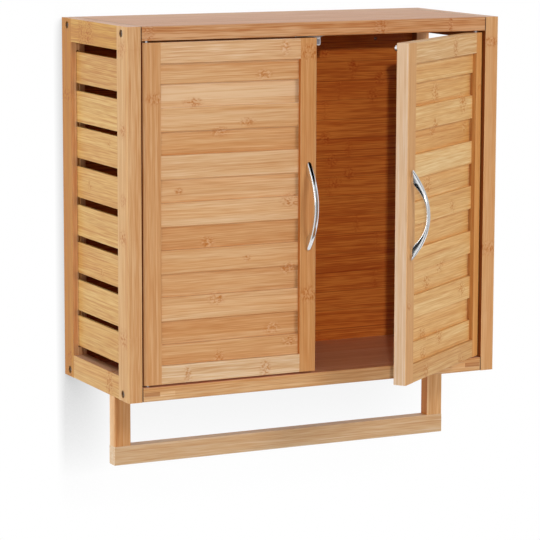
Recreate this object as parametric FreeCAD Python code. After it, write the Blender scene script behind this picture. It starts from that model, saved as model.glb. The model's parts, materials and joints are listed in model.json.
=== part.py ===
import FreeCAD, Part
import math
import os
from FreeCAD import Vector

# Bamboo wall cabinet with slatted sides, two pivoted doors and a towel rail below. Millimetres.
# +X is to the right seen from the front, the front faces -Y, the wall is at Y = 0 and +Z is up.
# The origin is on the wall face, midway between the two wall-screw holes of the hanging rail.

# Box of the cabinet, without the towel rail
WIDTH = 561.0
HEIGHT = 500.0
DEPTH = 230.0

# Side frames: two stiles, two rails and slats held in grooves of the stiles
SIDE_THICK = 20.0
STILE_DEEP = 34.0
SIDE_RAIL_TALL = 32.0
SLAT_COUNT = 8
SLAT_TALL = 43.0
SLAT_THICK = 4.0
SLAT_RECESS = 7.5
SLAT_GROOVE_DEEP = 6.0
SLAT_GROOVE_OVERRUN = 2.0
SLAT_GAP_SHARES = (1.31, 1.02, 0.64, 1.13, 1.02, 0.90, 0.97, 0.72, 1.29)

# Top, bottom and back
PANEL_THICK = 19.0
BACK_THICK = 5.0
BACK_GROOVE_DEEP = 5.0
HANG_RAIL_THICK = 15.0
HANG_RAIL_TALL = 45.0
WALL_HOLE_SPACING = 400.0
WALL_HOLE_RADIUS = 2.75

# Doors, inset and flush with the front
DOOR_THICK = 18.0
DOOR_SIDE_GAP = 2.0
DOOR_CENTRE_GAP = 5.0
DOOR_TOP_GAP = 2.5
DOOR_BOTTOM_GAP = 3.0
HINGE_STILE_WIDE = 26.0
FREE_STILE_WIDE = 24.5
DOOR_TOP_RAIL_TALL = 27.5
DOOR_BOTTOM_RAIL_TALL = 25.0
BOARD_COUNT = 13
BOARD_THICK = 5.5
BOARD_GROOVE_DEEP = 4.0
RAISED_RECESS = 5.5
SUNK_RECESS = 10.0
RIGHT_DOOR_REST_DEGREES = 37.0

# Pivots: steel pins in the panels, blind plastic bushes in the hinge stiles
PIN_RADIUS = 2.5
PIN_IN_PANEL = 12.0
PIN_IN_BUSH = 10.0
BUSH_RADIUS = 4.5
BUSH_LENGTH = 14.0
PIN_RUNNING_CLEARANCE = 0.05
BUSH_END_CLEARANCE = 0.3

# Towel rail, set in from each side: two posts under the bottom panel and a bar beneath them
TOWEL_RAIL_INSET = 23.0
POST_WIDE = 24.0
POST_DEEP = 19.0
POST_TALL = 82.5
POST_CENTRE_FROM_FRONT = 114.0
BAR_TALL = 26.5

# Bow handles
HANDLE_LENGTH = 121.0
HANDLE_HOLE_SPACING = 96.0
HANDLE_RISE = 27.0
HANDLE_WAIST = 3.5
HANDLE_WIDE = 6.5
HANDLE_FOOT_LONG = 9.0
HANDLE_FOOT_RISE = 5.0
HANDLE_TIP_LIFT = 2.0
HANDLE_ROUND = 1.4
HANDLE_SCREW_RADIUS = 2.0
HANDLE_SCREW_IN_FOOT = 7.0
HANDLE_SCREW_HEAD_RADIUS = 4.0
HANDLE_SCREW_HEAD_TALL = 2.4

# Magnetic catch under the top panel and the steel strike studs of the doors
CATCH_BODY_WIDE = 28.0
CATCH_BODY_TALL = 14.5
CATCH_BODY_DEEP = 16.0
CATCH_WALL = 1.2
CATCH_FLANGE_WIDE = 42.0
CATCH_FLANGE_THICK = 2.0
CATCH_CORNER_ROUND = 1.5
MAGNET_WIDE = 9.0
MAGNET_TALL = 5.0
MAGNET_DEEP = 12.0
MAGNET_SETBACK = 0.4
POLE_PLATE_THICK = 1.0
STRIKE_RADIUS = 4.0
STRIKE_TALL = 4.0
STRIKE_ROUND = 1.2
STRIKE_FROM_EDGE = 6.0
STRIKE_SHANK_RADIUS = 1.5
STRIKE_SHANK_LONG = 11.0
STRIKE_MAGNET_GAP = 0.3
CATCH_SCREW_RADIUS = 1.5
CATCH_SCREW_HEAD_RADIUS = 2.8
CATCH_SCREW_HEAD_TALL = 1.6
CATCH_SCREW_LONG = 12.0

# Assembly screws, sunk in counterbores, and wooden dowels
SCREW_RADIUS = 2.0
SCREW_HEAD_RADIUS = 4.2
SCREW_HEAD_TALL = 2.6
SCREW_LONG = 46.0
SCREW_EDGE_INSET = 20.0
COUNTERBORE_RADIUS = 5.0
COUNTERBORE_DEEP = 5.0
CROSS_SLOT_WIDE = 0.9
CROSS_SLOT_LONG = 4.4
CROSS_SLOT_DEEP = 1.3
DOWEL_RADIUS = 4.0
DOWEL_LONG = 30.0
DOWEL_IN_STILE = 10.0
DOWEL_SPACING = 16.0
DOOR_DOWEL_RADIUS = 3.0
DOOR_DOWEL_LONG = 26.0
DOOR_DOWEL_IN_STILE = 9.0
DOOR_DOWEL_SPACING = 11.0
HOLE_CLEARANCE = 0.1

# Rounded arrises of the wooden members, one overrun for all cuts, and how near two points count as one
EDGE_ROUND = 1.5
FINE_ROUND = 0.8
OVERRUN = 1.0
SAME_POINT = 0.01

# Places worked out from the sizes above
TOP = PANEL_THICK + HANG_RAIL_TALL / 2
BOTTOM = TOP - HEIGHT
FRONT = -DEPTH
HALF = WIDTH / 2
INSIDE = HALF - SIDE_THICK
UNDER_TOP = TOP - PANEL_THICK
OVER_BOTTOM = BOTTOM + PANEL_THICK
MID_TOP_PANEL = TOP - PANEL_THICK / 2
MID_BOTTOM_PANEL = BOTTOM + PANEL_THICK / 2
FRONT_STILE = (FRONT, FRONT + STILE_DEEP)
BACK_STILE = (-STILE_DEEP, 0)
BACK_PANEL = (-HANG_RAIL_THICK - BACK_THICK, -HANG_RAIL_THICK)
DOOR_BACK = FRONT + DOOR_THICK
DOOR_BOTTOM = OVER_BOTTOM + DOOR_BOTTOM_GAP
DOOR_TOP = UNDER_TOP - DOOR_TOP_GAP
DOOR_MIDDLE = (DOOR_BOTTOM + DOOR_TOP) / 2
HINGE_EDGE = INSIDE - DOOR_SIDE_GAP
HINGE_INNER = HINGE_EDGE - HINGE_STILE_WIDE
FREE_EDGE = DOOR_CENTRE_GAP / 2
FREE_INNER = FREE_EDGE + FREE_STILE_WIDE
PIVOT_X = HINGE_EDGE - DOOR_THICK / 2
PIVOT_Y = FRONT + DOOR_THICK / 2
POST_Y = FRONT + POST_CENTRE_FROM_FRONT
POST_OUTSIDE = HALF - TOWEL_RAIL_INSET
POST_X = POST_OUTSIDE - POST_WIDE / 2
STRIKE_X = FREE_EDGE + STRIKE_FROM_EDGE
CATCH_FRONT = DOOR_BACK + STRIKE_TALL + STRIKE_MAGNET_GAP
CATCH_BOTTOM = UNDER_TOP - CATCH_BODY_TALL
STRIKE_Z = CATCH_BOTTOM + CATCH_WALL + POLE_PLATE_THICK + MAGNET_TALL / 2
X_AXIS = Vector(1, 0, 0)
Y_AXIS = Vector(0, 1, 0)
Z_AXIS = Vector(0, 0, 1)
SIDES = {"left": -1, "right": 1}

os.makedirs("parts", exist_ok=True)


# Writes one node: a single solid, or a group of separate solids
def save(name, solids):
    shape = solids[0] if len(solids) == 1 else Part.makeCompound(solids)
    shape.exportStep("parts/" + name + ".step")


# A straight member along one axis. Rounds lists (u, v, radius) for the rounded corners of its section.
def bar(xs, ys, zs, along, rounds=()):
    spans = {"x": sorted(xs), "y": sorted(ys), "z": sorted(zs)}
    u_axis, v_axis = [axis for axis in "xyz" if axis != along]
    (u0, u1), (v0, v1) = spans[u_axis], spans[v_axis]
    start, end = spans[along]

    def point(u, v):
        places = {u_axis: u, v_axis: v, along: start}
        return Vector(places["x"], places["y"], places["z"])

    corners = [(u0, v0), (u1, v0), (u1, v1), (u0, v1)]
    ways = [(1, 0), (0, 1), (-1, 0), (0, -1)]
    edges = []
    first = last = None
    for number, (u, v) in enumerate(corners):
        into, out = ways[number - 1], ways[number]
        radius = sum(r for cu, cv, r in rounds if abs(cu - u) + abs(cv - v) < SAME_POINT)
        begin = point(u - into[0] * radius, v - into[1] * radius)
        finish = point(u + out[0] * radius, v + out[1] * radius)
        if last and begin.distanceToPoint(last) > SAME_POINT:
            edges.append(Part.LineSegment(last, begin).toShape())
        if radius:
            inward = (out[0] - into[0], out[1] - into[1])
            sagitta = radius * (1 - math.cos(math.pi / 4))
            middle = point(u + inward[0] * sagitta, v + inward[1] * sagitta)
            edges.append(Part.Arc(begin, middle, finish).toShape())
        first = first or begin
        last = finish
    if first.distanceToPoint(last) > SAME_POINT:
        edges.append(Part.LineSegment(last, first).toShape())
    reach = {"x": X_AXIS, "y": Y_AXIS, "z": Z_AXIS}[along] * (end - start)
    return Part.Face(Part.Wire(edges)).extrude(reach)


def rod(base, way, radius, length):
    return Part.makeCylinder(radius, length, base, way)


# A screw whose head's outer face is at base and whose shank points along way. Head and shank are
# each a radius and a length, and the shank's length is that of the whole screw.
def screw(base, way, head, shank):
    body = rod(base, way, *head).fuse(rod(base, way, *shank))
    across = Z_AXIS if abs(way.z) < 1 else X_AXIS
    for side in (across, way.cross(across)):
        half = side * (CROSS_SLOT_LONG / 2)
        thin = way.cross(side) * (CROSS_SLOT_WIDE / 2)
        outline = [base - half - thin, base + half - thin, base + half + thin, base - half + thin]
        slot = Part.Face(Part.makePolygon(outline + outline[:1])).extrude(way * CROSS_SLOT_DEEP)
        body = body.cut(slot)
    return body.Solids[0]


# The hole that a counterbored assembly screw passes through, from the outer face at base
def screw_hole(base, way):
    start = base - way * OVERRUN
    sink = rod(start, way, COUNTERBORE_RADIUS, COUNTERBORE_DEEP + OVERRUN)
    bore_long = COUNTERBORE_DEEP + SCREW_LONG + OVERRUN
    return sink.fuse(rod(start, way, SCREW_RADIUS + HOLE_CLEARANCE, bore_long))


def cut_all(shape, tools):
    for tool in tools:
        shape = shape.cut(tool)
    return shape.Solids[0]


# Where the assembly screws start: eight through the side frames, two down through the bottom panel
def assembly_screw_places():
    places = []
    for side in SIDES.values():
        for z in (MID_BOTTOM_PANEL, MID_TOP_PANEL):
            for y in (FRONT + SCREW_EDGE_INSET, -SCREW_EDGE_INSET):
                places.append((Vector(side * HALF, y, z), X_AXIS * -side))
        places.append((Vector(side * POST_X, POST_Y, OVER_BOTTOM), Z_AXIS * -1))
    return places


# Where the carcass dowels start and which way they point
def carcass_dowel_places():
    places = []
    for side in SIDES.values():
        x = side * (HALF - SIDE_THICK / 2)
        for middle in (BOTTOM + SIDE_RAIL_TALL / 2, TOP - SIDE_RAIL_TALL / 2):
            for z in (middle - DOWEL_SPACING / 2, middle + DOWEL_SPACING / 2):
                places.append((Vector(x, FRONT_STILE[1] - DOWEL_IN_STILE, z), Y_AXIS))
                places.append((Vector(x, BACK_STILE[0] + DOWEL_IN_STILE, z), Y_AXIS * -1))
        for z in (-DOWEL_SPACING / 2, DOWEL_SPACING / 2):
            start = Vector(side * (INSIDE + DOWEL_IN_STILE), -HANG_RAIL_THICK / 2, z)
            places.append((start, X_AXIS * -side))
        places.append((Vector(side * POST_X, POST_Y, BOTTOM - POST_TALL - DOWEL_LONG / 2), Z_AXIS))
    return places


def carcass_holes():
    holes = [screw_hole(base, way) for base, way in assembly_screw_places()]
    for base, way in carcass_dowel_places():
        holes.append(rod(base, way, DOWEL_RADIUS + HOLE_CLEARANCE, DOWEL_LONG))
    for x in (-WALL_HOLE_SPACING / 2, WALL_HOLE_SPACING / 2):
        start = Vector(x, BACK_PANEL[0] - OVERRUN, 0)
        holes.append(rod(start, Y_AXIS, WALL_HOLE_RADIUS, -start.y + OVERRUN))
    for side in SIDES.values():
        for base, way in pin_places(side):
            holes.append(rod(base, way, PIN_RADIUS + HOLE_CLEARANCE / 2, PIN_IN_PANEL))
    return holes


# The pivot pins start inside the panels and point at the door
def pin_places(side):
    low = Vector(side * PIVOT_X, PIVOT_Y, OVER_BOTTOM - PIN_IN_PANEL)
    high = Vector(side * PIVOT_X, PIVOT_Y, UNDER_TOP + PIN_IN_PANEL)
    return [(low, Z_AXIS), (high, Z_AXIS * -1)]


# Heights of the slats, from the top down, with uneven gaps
def slat_spans():
    free = HEIGHT - 2 * SIDE_RAIL_TALL - SLAT_COUNT * SLAT_TALL
    z = TOP - SIDE_RAIL_TALL
    spans = []
    for share in SLAT_GAP_SHARES[:SLAT_COUNT]:
        z = z - share * free / sum(SLAT_GAP_SHARES)
        spans.append((z - SLAT_TALL, z))
        z = z - SLAT_TALL
    return spans


def make_side_frame(name, side, holes):
    outside = side * HALF
    inside = side * INSIDE
    slat_x = (side * (HALF - SLAT_RECESS), side * (HALF - SLAT_RECESS - SLAT_THICK))
    spans = slat_spans()
    groove_z = (spans[-1][0] - SLAT_GROOVE_OVERRUN, spans[0][1] + SLAT_GROOVE_OVERRUN)
    slat_y = (FRONT_STILE[1] - SLAT_GROOVE_DEEP, BACK_STILE[0] + SLAT_GROOVE_DEEP)
    groove = bar(slat_x, slat_y, groove_z, "z")
    back_groove_x = (inside, inside + side * BACK_GROOVE_DEEP)
    back_groove_z = (OVER_BOTTOM - BACK_GROOVE_DEEP, UNDER_TOP + BACK_GROOVE_DEEP)
    back_groove = bar(back_groove_x, BACK_PANEL, back_groove_z, "z")

    front_rounds = [(outside, FRONT, EDGE_ROUND), (inside, FRONT, FINE_ROUND)]
    front = bar((inside, outside), FRONT_STILE, (BOTTOM, TOP), "z", front_rounds)
    save(name + "_front_stile", [cut_all(front, [groove] + holes)])
    back = bar((inside, outside), BACK_STILE, (BOTTOM, TOP), "z", [(outside, 0, EDGE_ROUND)])
    save(name + "_back_stile", [cut_all(back, [groove, back_groove] + holes)])

    rail_y = (FRONT_STILE[1], BACK_STILE[0])
    rail_spans = {"top": (TOP - SIDE_RAIL_TALL, TOP), "bottom": (BOTTOM, BOTTOM + SIDE_RAIL_TALL)}
    for place, (low, high) in rail_spans.items():
        rounds = [(outside, low, FINE_ROUND), (outside, high, FINE_ROUND)]
        rail = bar((inside, outside), rail_y, (low, high), "y", rounds)
        save(name + "_" + place + "_rail", [cut_all(rail, holes)])

    for number, (low, high) in enumerate(spans, 1):
        rounds = [(slat_x[0], low, FINE_ROUND), (slat_x[0], high, FINE_ROUND)]
        save(name + "_slat_" + str(number), [bar(slat_x, slat_y, (low, high), "y", rounds)])


def make_panels(holes):
    width = (-INSIDE, INSIDE)
    groove_x = (-INSIDE - OVERRUN, INSIDE + OVERRUN)
    top_groove = bar(groove_x, BACK_PANEL, (UNDER_TOP - OVERRUN, UNDER_TOP + BACK_GROOVE_DEEP), "x")
    bottom_groove = bar(groove_x, BACK_PANEL, (OVER_BOTTOM - BACK_GROOVE_DEEP, OVER_BOTTOM + OVERRUN), "x")

    rounds = [(FRONT, TOP, EDGE_ROUND), (FRONT, UNDER_TOP, FINE_ROUND)]
    top = bar(width, (FRONT, 0), (UNDER_TOP, TOP), "x", rounds)
    radius = CATCH_SCREW_RADIUS + HOLE_CLEARANCE
    catch_holes = [rod(place, Z_AXIS, radius, CATCH_SCREW_LONG) for place in catch_screw_places()]
    save("top_panel", [cut_all(top, [top_groove] + catch_holes + holes)])

    rounds = [(FRONT, BOTTOM, EDGE_ROUND), (FRONT, OVER_BOTTOM, FINE_ROUND)]
    bottom = bar(width, (FRONT, 0), (BOTTOM, OVER_BOTTOM), "x", rounds)
    save("bottom_panel", [cut_all(bottom, [bottom_groove] + holes)])

    reach = INSIDE + BACK_GROOVE_DEEP
    back_z = (OVER_BOTTOM - BACK_GROOVE_DEEP, UNDER_TOP + BACK_GROOVE_DEEP)
    save("back_panel", [cut_all(bar((-reach, reach), BACK_PANEL, back_z, "x"), holes)])

    rail = bar(width, (-HANG_RAIL_THICK, 0), (UNDER_TOP - HANG_RAIL_TALL, UNDER_TOP), "x")
    save("hanging_rail", [cut_all(rail, holes)])


def make_towel_rail(holes):
    ys = (POST_Y - POST_DEEP / 2, POST_Y + POST_DEEP / 2)
    low = BOTTOM - POST_TALL
    for name, side in SIDES.items():
        xs = (side * POST_OUTSIDE, side * (POST_OUTSIDE - POST_WIDE))
        rounds = [(x, y, EDGE_ROUND) for x in xs for y in ys]
        save("towel_post_" + name, [cut_all(bar(xs, ys, (low, BOTTOM), "z", rounds), holes)])
    rounds = [(y, z, EDGE_ROUND) for y in ys for z in (low - BAR_TALL, low)]
    towel_bar = bar((-POST_OUTSIDE, POST_OUTSIDE), ys, (low - BAR_TALL, low), "x", rounds)
    save("towel_bar", [cut_all(towel_bar, holes)])


def make_fasteners():
    screws = []
    for base, way in assembly_screw_places():
        seat = base + way * (COUNTERBORE_DEEP - SCREW_HEAD_TALL)
        head = (SCREW_HEAD_RADIUS, SCREW_HEAD_TALL)
        screws.append(screw(seat, way, head, (SCREW_RADIUS, SCREW_LONG)))
    save("assembly_screws", screws)
    dowel_places = carcass_dowel_places()
    save("carcass_dowels", [rod(base, way, DOWEL_RADIUS, DOWEL_LONG) for base, way in dowel_places])
    pins = []
    for side in SIDES.values():
        gaps = (DOOR_BOTTOM_GAP, DOOR_TOP_GAP)
        for (base, way), gap in zip(pin_places(side), gaps):
            pins.append(rod(base, way, PIN_RADIUS, PIN_IN_PANEL + gap + PIN_IN_BUSH))
    save("pivot_pins", pins)


def catch_screw_places():
    x = (CATCH_BODY_WIDE + CATCH_FLANGE_WIDE) / 4
    y = CATCH_FRONT + CATCH_BODY_DEEP / 2
    return [Vector(side * x, y, UNDER_TOP) for side in SIDES.values()]


def make_catch():
    ys = (CATCH_FRONT, CATCH_FRONT + CATCH_BODY_DEEP)
    half = CATCH_BODY_WIDE / 2
    flange_half = CATCH_FLANGE_WIDE / 2
    flange_bottom = UNDER_TOP - CATCH_FLANGE_THICK
    rounds = [(x, CATCH_BOTTOM, CATCH_CORNER_ROUND) for x in (-half, half)]
    housing = bar((-half, half), ys, (CATCH_BOTTOM, UNDER_TOP), "y", rounds)
    rounds = [(x, y, CATCH_CORNER_ROUND) for x in (-flange_half, flange_half) for y in ys]
    housing = housing.fuse(bar((-flange_half, flange_half), ys, (flange_bottom, UNDER_TOP), "z", rounds))
    pocket_low = CATCH_BOTTOM + CATCH_WALL
    pocket_z = (pocket_low, pocket_low + 2 * POLE_PLATE_THICK + MAGNET_TALL)
    magnets, plates, tools = [], [], []
    for side in SIDES.values():
        xs = (side * STRIKE_X - MAGNET_WIDE / 2, side * STRIKE_X + MAGNET_WIDE / 2)
        back = CATCH_FRONT + MAGNET_DEEP
        tools.append(bar(xs, (CATCH_FRONT - OVERRUN, back), pocket_z, "y"))
        magnet_z = (pocket_z[0] + POLE_PLATE_THICK, pocket_z[1] - POLE_PLATE_THICK)
        magnets.append(bar(xs, (CATCH_FRONT + MAGNET_SETBACK, back), magnet_z, "y"))
        for low in (pocket_z[0], magnet_z[1]):
            plates.append(bar(xs, (CATCH_FRONT, back), (low, low + POLE_PLATE_THICK), "y"))
    radius = CATCH_SCREW_RADIUS + HOLE_CLEARANCE
    for place in catch_screw_places():
        start = place - Z_AXIS * (CATCH_FLANGE_THICK + OVERRUN)
        tools.append(rod(start, Z_AXIS, radius, CATCH_FLANGE_THICK + 2 * OVERRUN))
    save("catch_housing", [cut_all(housing, tools)])
    save("catch_magnets", magnets)
    save("catch_pole_plates", plates)
    screws = []
    for place in catch_screw_places():
        base = place - Z_AXIS * (CATCH_FLANGE_THICK + CATCH_SCREW_HEAD_TALL)
        head = (CATCH_SCREW_HEAD_RADIUS, CATCH_SCREW_HEAD_TALL)
        screws.append(screw(base, Z_AXIS, head, (CATCH_SCREW_RADIUS, CATCH_SCREW_LONG)))
    save("catch_screws", screws)


# A bow handle for the door at one side, standing on the face of its free stile
def handle_shape(x):
    length = HANDLE_LENGTH / 2
    foot_inner = (HANDLE_HOLE_SPACING - HANDLE_FOOT_LONG) / 2
    foot_outer = foot_inner + HANDLE_FOOT_LONG
    start = x - HANDLE_WIDE / 2

    def point(along, rise):
        return Vector(start, FRONT - rise, DOOR_MIDDLE + along)

    def bow(reach, end_rise, crown):
        curve = Part.BezierCurve()
        curve.setPoles([point(-reach, end_rise), point(0, 2 * crown - end_rise), point(reach, end_rise)])
        return curve.toShape()

    outer = bow(length, HANDLE_TIP_LIFT, HANDLE_RISE)
    inner = bow(foot_inner, HANDLE_FOOT_RISE, HANDLE_RISE - HANDLE_WAIST)
    edges = [outer, inner]
    for way in (-1, 1):
        foot = [(length, HANDLE_TIP_LIFT), (foot_outer, HANDLE_TIP_LIFT), (foot_outer, 0), (foot_inner, 0)]
        foot.append((foot_inner, HANDLE_FOOT_RISE))
        corners = [point(way * along, rise) for along, rise in foot]
        edges += [Part.LineSegment(a, b).toShape() for a, b in zip(corners, corners[1:])]
    solid = Part.Face(Part.Wire(Part.__sortEdges__(edges))).extrude(X_AXIS * HANDLE_WIDE)
    crown_y = FRONT - HANDLE_RISE + HANDLE_WAIST / 2
    return solid.makeFillet(HANDLE_ROUND, [edge for edge in solid.Edges if edge.BoundBox.YMin < crown_y])


# Heights of the door boards, from the bottom up; the end ones reach into the rails
def board_spans():
    low = DOOR_BOTTOM + DOOR_BOTTOM_RAIL_TALL - BOARD_GROOVE_DEEP
    high = DOOR_TOP - DOOR_TOP_RAIL_TALL + BOARD_GROOVE_DEEP
    tall = (high - low) / BOARD_COUNT
    return [(low + number * tall, low + (number + 1) * tall) for number in range(BOARD_COUNT)]


# Heights of a door's rails
def door_rail_spans():
    return {
        "top": (DOOR_TOP - DOOR_TOP_RAIL_TALL, DOOR_TOP),
        "bottom": (DOOR_BOTTOM, DOOR_BOTTOM + DOOR_BOTTOM_RAIL_TALL),
    }


# Two dowels through each corner joint of a door, and their holes
def door_dowels(side):
    dowels, holes = [], []
    middle_y = (FRONT + DOOR_BACK) / 2
    for low, high in door_rail_spans().values():
        for z in ((low + high - DOOR_DOWEL_SPACING) / 2, (low + high + DOOR_DOWEL_SPACING) / 2):
            for joint, inward in ((HINGE_INNER, -1), (FREE_INNER, 1)):
                base = Vector(side * (joint - inward * DOOR_DOWEL_IN_STILE), middle_y, z)
                way = X_AXIS * (side * inward)
                dowels.append(rod(base, way, DOOR_DOWEL_RADIUS, DOOR_DOWEL_LONG))
                holes.append(rod(base, way, DOOR_DOWEL_RADIUS + HOLE_CLEARANCE, DOOR_DOWEL_LONG))
    return dowels, holes


# The blind bushes in the ends of a hinge stile, and their seats
def door_bushes(side):
    bushes, seats = [], []
    for z, way in ((DOOR_BOTTOM, Z_AXIS), (DOOR_TOP, Z_AXIS * -1)):
        base = Vector(side * PIVOT_X, PIVOT_Y, z)
        start = base - way * OVERRUN
        bore_long = OVERRUN + PIN_IN_BUSH + BUSH_END_CLEARANCE
        bore = rod(start, way, PIN_RADIUS + PIN_RUNNING_CLEARANCE, bore_long)
        bushes.append(cut_all(rod(base, way, BUSH_RADIUS, BUSH_LENGTH), [bore]))
        seats.append(rod(start, way, BUSH_RADIUS + HOLE_CLEARANCE / 2, OVERRUN + BUSH_LENGTH))
    return bushes, seats


# A handle with the screws that hold it from the back of the door, and their holes
def door_handle(x):
    handle = handle_shape(x)
    screws, holes = [], []
    way = Y_AXIS * -1
    reach = DOOR_THICK + HANDLE_SCREW_IN_FOOT
    head = (HANDLE_SCREW_HEAD_RADIUS, HANDLE_SCREW_HEAD_TALL)
    shank = (HANDLE_SCREW_RADIUS, HANDLE_SCREW_HEAD_TALL + reach)
    for along in (-HANDLE_HOLE_SPACING / 2, HANDLE_HOLE_SPACING / 2):
        place = Vector(x, DOOR_BACK, DOOR_MIDDLE + along)
        holes.append(rod(place, way, HANDLE_SCREW_RADIUS + HOLE_CLEARANCE, reach))
        screws.append(screw(place - way * HANDLE_SCREW_HEAD_TALL, way, head, shank))
    return cut_all(handle, holes), screws, holes


# The steel stud that the catch pulls on, and the hole of its shank
def door_strike(side):
    base = Vector(side * STRIKE_X, DOOR_BACK + STRIKE_TALL, STRIKE_Z)
    seat = Vector(base.x, DOOR_BACK, base.z)
    way = Y_AXIS * -1
    stud = rod(base, way, STRIKE_RADIUS, STRIKE_TALL)
    rim_y = DOOR_BACK + STRIKE_TALL / 2
    stud = stud.makeFillet(STRIKE_ROUND, [edge for edge in stud.Edges if edge.BoundBox.YMin > rim_y])
    stud = stud.fuse(rod(base, way, STRIKE_SHANK_RADIUS, STRIKE_TALL + STRIKE_SHANK_LONG))
    hole = rod(seat, way, STRIKE_SHANK_RADIUS + HOLE_CLEARANCE, STRIKE_SHANK_LONG)
    return stud.Solids[0], hole


def make_door(name, side):
    ys = (FRONT, DOOR_BACK)
    height = (DOOR_BOTTOM, DOOR_TOP)
    raised_y = (FRONT + RAISED_RECESS, FRONT + RAISED_RECESS + BOARD_THICK)
    sunk_y = (FRONT + SUNK_RECESS, FRONT + SUNK_RECESS + BOARD_THICK)
    boards = board_spans()
    board_x = (side * (FREE_INNER - BOARD_GROOVE_DEEP), side * (HINGE_INNER + BOARD_GROOVE_DEEP))
    groove = bar(board_x, (raised_y[0], sunk_y[1]), (boards[0][0], boards[-1][1]), "z")

    dowels, dowel_holes = door_dowels(side)
    bushes, bush_seats = door_bushes(side)
    handle, screws, screw_holes = door_handle(side * (FREE_EDGE + FREE_STILE_WIDE / 2))
    strike, strike_hole = door_strike(side)
    holes = [groove, strike_hole] + dowel_holes + bush_seats + screw_holes

    pieces = {}
    hinge_rounds = [(side * HINGE_EDGE, y, DOOR_THICK / 2) for y in ys]
    stile = bar((side * HINGE_INNER, side * HINGE_EDGE), ys, height, "z", hinge_rounds)
    pieces["hinge_stile"] = [cut_all(stile, holes)]
    free_rounds = [(side * FREE_EDGE, y, EDGE_ROUND) for y in ys]
    stile = bar((side * FREE_EDGE, side * FREE_INNER), ys, height, "z", free_rounds)
    pieces["free_stile"] = [cut_all(stile, holes)]
    for place, (low, high) in door_rail_spans().items():
        outer = high if place == "top" else low
        rounds = [(y, outer, FINE_ROUND) for y in ys]
        rail = bar((side * FREE_INNER, side * HINGE_INNER), ys, (low, high), "x", rounds)
        pieces[place + "_rail"] = [cut_all(rail, holes)]

    raised, sunk = [], []
    for number, (low, high) in enumerate(boards):
        if number % 2:
            sunk.append(bar(board_x, sunk_y, (low, high), "x"))
        else:
            rounds = [(raised_y[0], z, FINE_ROUND) for z in (low, high)]
            raised.append(bar(board_x, raised_y, (low, high), "x", rounds))
    pieces["raised_boards"] = raised
    pieces["sunk_boards"] = sunk
    pieces["dowels"] = dowels
    pieces["pivot_bushes"] = bushes
    pieces["handle"] = [handle]
    pieces["handle_screws"] = screws
    pieces["strike_stud"] = [strike]

    turn = RIGHT_DOOR_REST_DEGREES if side == SIDES["right"] else 0
    for piece, solids in pieces.items():
        for solid in solids:
            solid.rotate(Vector(side * PIVOT_X, PIVOT_Y, 0), Z_AXIS, turn)
        save(name + "_door_" + piece, solids)


all_holes = carcass_holes()
make_panels(all_holes)
for side_name, side_way in SIDES.items():
    make_side_frame(side_name, side_way, all_holes)
    make_door(side_name, side_way)
make_towel_rail(all_holes)
make_fasteners()
make_catch()
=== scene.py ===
import json
import math

import bmesh
import bpy
from mathutils import Matrix, Vector


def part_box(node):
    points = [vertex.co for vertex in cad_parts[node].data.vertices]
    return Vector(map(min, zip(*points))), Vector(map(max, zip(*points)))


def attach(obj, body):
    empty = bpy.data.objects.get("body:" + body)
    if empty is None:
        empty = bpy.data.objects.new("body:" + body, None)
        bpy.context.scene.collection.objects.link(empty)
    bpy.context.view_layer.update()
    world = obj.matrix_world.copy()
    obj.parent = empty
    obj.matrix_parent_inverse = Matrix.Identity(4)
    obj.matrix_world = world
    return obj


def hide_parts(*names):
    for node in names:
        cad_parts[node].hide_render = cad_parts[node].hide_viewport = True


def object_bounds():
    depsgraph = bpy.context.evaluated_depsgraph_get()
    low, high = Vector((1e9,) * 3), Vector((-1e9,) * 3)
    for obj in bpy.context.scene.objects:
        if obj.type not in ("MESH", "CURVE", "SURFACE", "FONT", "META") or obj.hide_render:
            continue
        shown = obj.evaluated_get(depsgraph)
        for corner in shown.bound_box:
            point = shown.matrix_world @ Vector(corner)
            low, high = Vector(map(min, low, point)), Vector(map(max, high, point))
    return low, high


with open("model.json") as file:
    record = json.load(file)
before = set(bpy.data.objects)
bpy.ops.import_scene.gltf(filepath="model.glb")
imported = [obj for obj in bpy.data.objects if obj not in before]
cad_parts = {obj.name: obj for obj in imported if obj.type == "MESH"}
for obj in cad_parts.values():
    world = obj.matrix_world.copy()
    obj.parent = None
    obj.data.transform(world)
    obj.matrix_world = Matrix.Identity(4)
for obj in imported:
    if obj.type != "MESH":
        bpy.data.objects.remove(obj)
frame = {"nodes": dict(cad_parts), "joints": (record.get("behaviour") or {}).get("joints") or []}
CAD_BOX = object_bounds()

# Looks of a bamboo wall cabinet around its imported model, in metres. +X is to the right seen from the
# front, the front faces -Y and +Z is up.

MM = 0.001
SIDES = ("left", "right")
NODES = frame["nodes"]
CAD_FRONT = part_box("left_front_stile")[0].y

# The right door stands open, turned about its pivot. Its pattern is laid out as if it were shut.
OPEN_HINGE = {joint["name"]: joint for joint in frame["joints"]}["right_door_hinge"]
OPEN_PIVOT = Vector((*OPEN_HINGE["pos_m"][:2], 0))
OPEN_TURN = math.radians(-OPEN_HINGE["range_deg"][0])

# Directions that a face may look in, with the doors shut
LEFTWARD, FORWARD, REARWARD, UPWARD, DOWNWARD = (-1, 0, 0), (0, -1, 0), (0, 1, 0), (0, 0, 1), (0, 0, -1)


# Colours are written as the eye sees them, 0 to 255 a channel, and this works out the linear ones
def colour(red, green, blue):
    def linear(value):
        share = value / 255
        return share / 12.92 if share <= 0.04045 else ((share + 0.055) / 1.055) ** 2.4

    return (linear(red), linear(green), linear(blue), 1.0)


# A base colour with each channel scaled
def scaled(base, shares):
    return tuple(channel * share for channel, share in zip(base, shares))


# What the base colour is on faces that look in a direction. It starts, and is full, where the cosine of
# the angle between them has these values.
def facing(direction, base, start=0.67, full=1.0):
    return direction, base, start, full


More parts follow.
